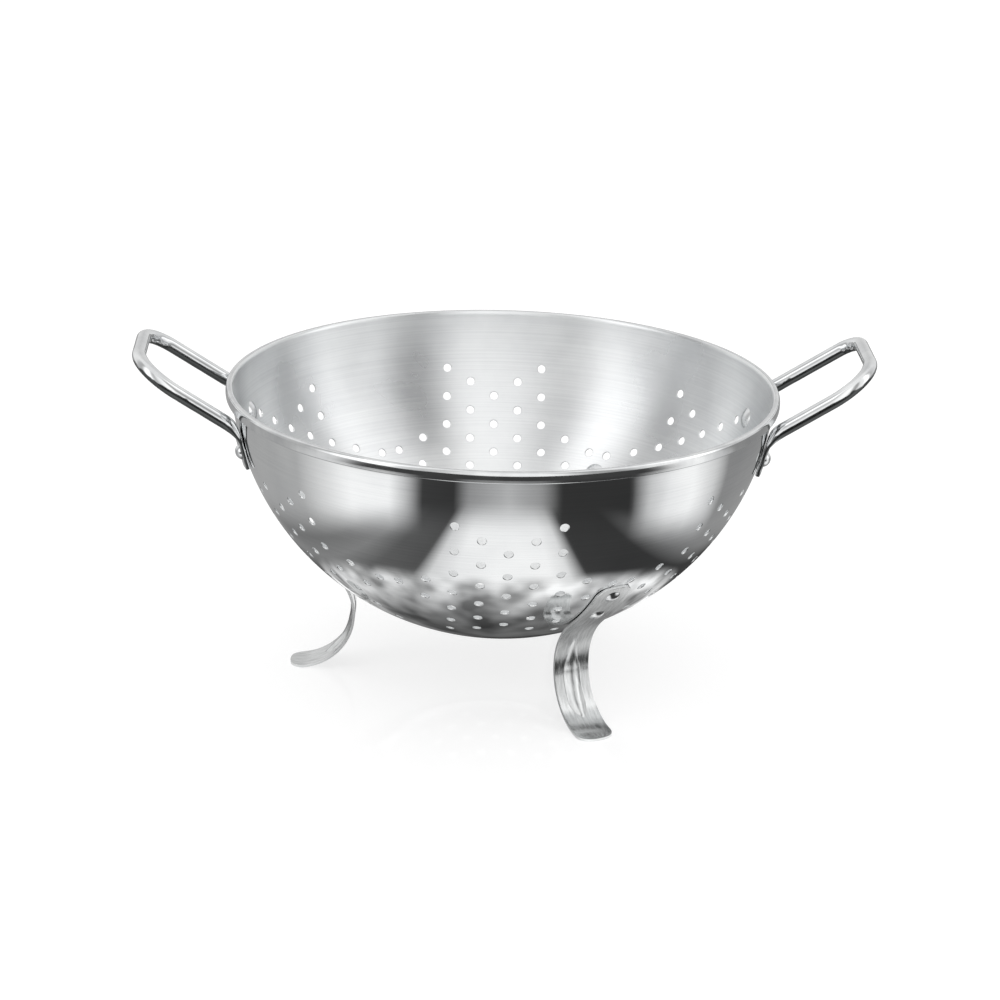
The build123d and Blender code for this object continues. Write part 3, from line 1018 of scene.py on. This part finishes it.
# %% Panels of the floor
FEET_SHADE = [(0.0, 0.08), (0.36, 0.13), (0.55, 0.26), (0.7, 0.45), (0.88, 0.8), (1.0, 0.85)]
FEET_REACH = 0.14
NEAR_FLOOR_STOPS = [
    (-0.25, 0.4), (-0.19, 0.2), (-0.16, 0.26), (-0.13, 0.13), (-0.092, 0.1), (-0.076, 0.85),
    (-0.05, 1.08), (0.05, 1.08), (0.07, 0.9), (0.088, 0.05), (0.16, 0.05), (0.19, 0.24), (0.25, 0.4),
]
NEAR_SPAN = 0.5
FAR_FLOOR_STOPS = [
    (-180, 0.35), (-105, 0.45), (-86, 0.5), (-68, 0.9), (-58, 1.15), (-42, 1.15), (-36, 0.7),
    (-30, 0.06), (-18, 0.05), (-13, 0.38), (1, 0.6), (12, 0.38), (19, 0.04), (46, 0.04),
    (54, 0.75), (63, 1.05), (75, 1.12), (88, 0.75), (97, 0.3), (180, 0.35),
]
UNDER_TO_NEAR = (0.128, 0.16)
NEAR_TO_FAR = (0.235, 0.345)
SIDE_STRETCH = (1.25, 1, 1)
DARK_BEYOND = 0.06
BEYOND_FROM = (0.4, 0.5)
BEYOND_TO = (1.5, 3.0)
FRONT_WIDTH = (0.14, 0.2)
MOTTLE_LOW, MOTTLE_HIGH = 0.35, 1.5
print("floor panels", len(NEAR_FLOOR_STOPS), len(FAR_FLOOR_STOPS))


# %% [markdown]
# The group reads one place: for the world that is the direction of a ray, and for the floor the point
# where a ray lands. The same azimuth serves both.

# %% Panels group
def azimuth_ramp(tree, share, stops):
    """A grey ramp by azimuth in degrees from the front, given the azimuth as a share of a turn."""
    return grey_ramp(tree, share, [(0.5 + azimuth / 360, grey) for azimuth, grey in stops])


def blend(tree, low, high, measure, from_value, to_value):
    """Goes smoothly from one value to another as a measure passes between two limits."""
    limits = {0: measure, 1: from_value, 2: to_value}
    step = node(tree, "ShaderNodeMapRange", limits, interpolation_type="SMOOTHSTEP").outputs[0]
    return node(tree, "ShaderNodeMix", {0: step, 2: low, 3: high}, data_type="FLOAT").outputs[0]


room_panels, place, result = new_group("room_panels", ["Direction"], ["Sky", "Floor"])
parts = node(room_panels, "ShaderNodeSeparateXYZ", {0: place}).outputs
frontwards = sum_of(room_panels, "MULTIPLY", parts[1], -1.0)
turn = sum_of(room_panels, "ARCTAN2", parts[0], frontwards)
share = sum_of(room_panels, "MULTIPLY_ADD", turn, 1 / (2 * pi), 0.5)
distance = vector_of(room_panels, "LENGTH", place)

# %% Floor in the group
mottle = noise(room_panels, place, scale=22.0, detail=2.0)
mottled = in_range(room_panels, mottle, NOISE_LOW, NOISE_HIGH, MOTTLE_LOW, MOTTLE_HIGH)
under = grey_ramp(room_panels, sum_of(room_panels, "DIVIDE", distance, FEET_REACH), FEET_SHADE)
shade = sum_of(room_panels, "MULTIPLY", under, mottled)
sideways = sum_of(room_panels, "MULTIPLY_ADD", parts[0], 1 / NEAR_SPAN, 0.5)
near = grey_ramp(room_panels, sideways, [(0.5 + x / NEAR_SPAN, grey) for x, grey in NEAR_FLOOR_STOPS])
far = azimuth_ramp(room_panels, share, FAR_FLOOR_STOPS)
spread = vector_of(room_panels, "LENGTH", vector_of(room_panels, "MULTIPLY", place, SIDE_STRETCH))
beside = blend(room_panels, near, far, spread, *NEAR_TO_FAR)
floor_look = blend(room_panels, shade, beside, distance, *UNDER_TO_NEAR)
beyond = blend(room_panels, floor_look, DARK_BEYOND, distance, *BEYOND_FROM)
off_front = sum_of(room_panels, "ABSOLUTE", sum_of(room_panels, "SUBTRACT", share, 0.5))
ground = blend(room_panels, beyond, floor_look, off_front, *FRONT_WIDTH)
ground = blend(room_panels, ground, floor_look, distance, *BEYOND_TO)

# %% Sky in the group
walls = azimuth_ramp(room_panels, share, SKY_STOPS)
sky = blend(room_panels, walls, ZENITH_LIGHT, parts[2], ZENITH_FROM, ZENITH_TO)
put_out(room_panels, result, sky, ground)

# %% [markdown]
# The world shows the painted walls to every ray but the camera's own, which sees plain white. Its light is
# soft and comes from all round, so no lamps are needed.


# %% World
def mix_shaders(tree, share, first, second):
    """One shader that goes over to another as a share goes from 0 to 1."""
    return node(tree, "ShaderNodeMixShader", {0: share, 1: first, 2: second}).outputs[0]


world = bpy.data.worlds.new("room")
bpy.context.scene.world = world
tree = emptied(world)
painted = shown_by(tree, room_panels, node(tree, "ShaderNodeTexCoord").outputs["Generated"])
room = node(tree, "ShaderNodeBackground", {"Color": painted["Sky"]}).outputs[0]
white = node(tree, "ShaderNodeBackground", {"Color": (1, 1, 1, 1)}).outputs[0]
rays = node(tree, "ShaderNodeLightPath").outputs
seen = mix_shaders(tree, rays["Is Camera Ray"], room, white)
node(tree, "ShaderNodeOutputWorld", {"Surface": seen})
print("world", world.name)

# %% [markdown]
# The floor is plain, pale and a little glossy, and it fades into the white behind it. To the camera it
# glows softly, keeps the colander's shadow and has a thin sheen. To mirror rays it is the painted floor,
# and to all other rays plain matt white, so that it still throws light up onto the bowl.

# %% Floor
FLOOR_HALF = 6
FLOOR_SHARE = 0.45
FLOOR_WHITE = 0.72
BOUNCE_WHITE = 0.8
SHEEN_SHARE = 0.06
SHEEN_ROUGHNESS = 0.03


def opaque_grey(value):
    """A grey colour with full opacity."""
    return (value, value, value, 1)


bm = bmesh.new()
bmesh.ops.create_grid(bm, x_segments=1, y_segments=1, size=FLOOR_HALF)
floor = object_from(bm, "floor")
material = bpy.data.materials.new("floor_white")
tree = emptied(material)
painted = shown_by(tree, room_panels, node(tree, "ShaderNodeTexCoord").outputs["Object"])
mirrored = node(tree, "ShaderNodeEmission", {"Color": painted["Floor"]}).outputs[0]
bounced = node(tree, "ShaderNodeBsdfDiffuse", {"Color": opaque_grey(BOUNCE_WHITE)}).outputs[0]
shaded = node(tree, "ShaderNodeBsdfDiffuse", {"Color": opaque_grey(FLOOR_SHARE)}).outputs[0]
lit = node(tree, "ShaderNodeEmission", {"Color": opaque_grey(FLOOR_WHITE)}).outputs[0]
matt = node(tree, "ShaderNodeAddShader", {0: shaded, 1: lit}).outputs[0]
sheen = node(tree, "ShaderNodeBsdfGlossy", {"Roughness": SHEEN_ROUGHNESS}).outputs[0]
rays = node(tree, "ShaderNodeLightPath").outputs
unseen = mix_shaders(tree, rays["Is Glossy Ray"], bounced, mirrored)
glazed = mix_shaders(tree, SHEEN_SHARE, matt, sheen)
seen = mix_shaders(tree, rays["Is Camera Ray"], unseen, glazed)
node(tree, "ShaderNodeOutputMaterial", {"Surface": seen})
floor.data.materials.append(material)
bpy.context.scene.view_settings.view_transform = "Standard"
print("floor", floor.name)
